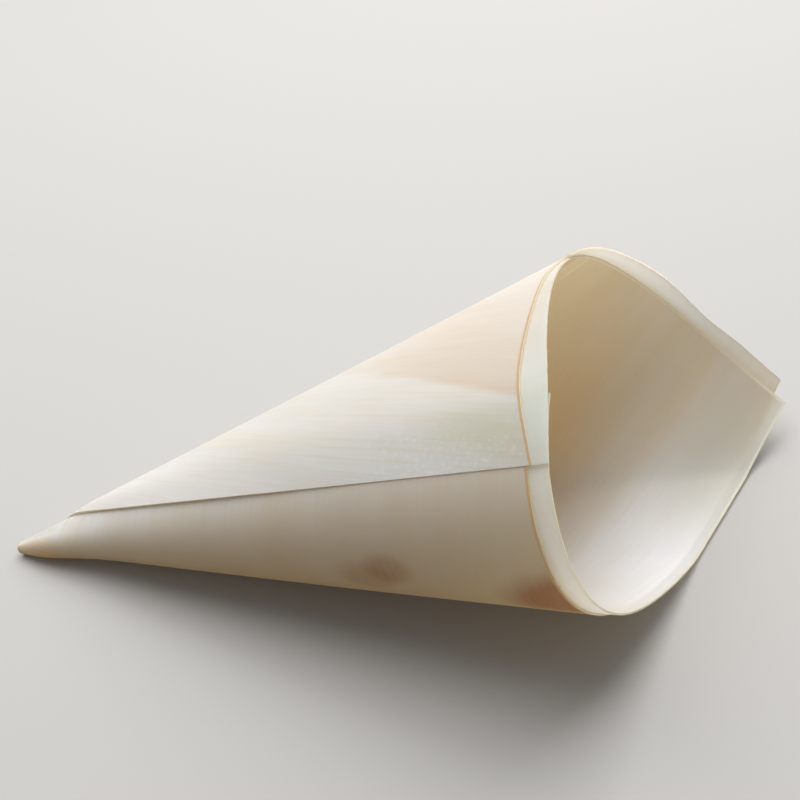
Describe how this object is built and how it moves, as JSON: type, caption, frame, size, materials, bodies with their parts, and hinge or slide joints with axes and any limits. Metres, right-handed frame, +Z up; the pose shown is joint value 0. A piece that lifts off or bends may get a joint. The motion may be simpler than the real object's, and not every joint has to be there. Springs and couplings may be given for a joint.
{
  "type": "wooden food cone",
  "caption": "Pale veneer cone that holds finger food: a double square sheet rolled to a blunt tip, with a lapped seam and a pointed, open mouth, lying on its side.",
  "frame": {"origin": "middle of the footprint, on the table that the cone lies on", "axes": "+X from the tip towards the mouth along the table, +Y towards the far side, +Z up"},
  "size_m": [0.1268, 0.0584, 0.0479],
  "materials": {
    "pale_veneer": "bare sliced veneer, matt to satin"
  },
  "bodies": {
    "root": {"rolled_veneer": "pale_veneer"}
  },
  "joints": []
}
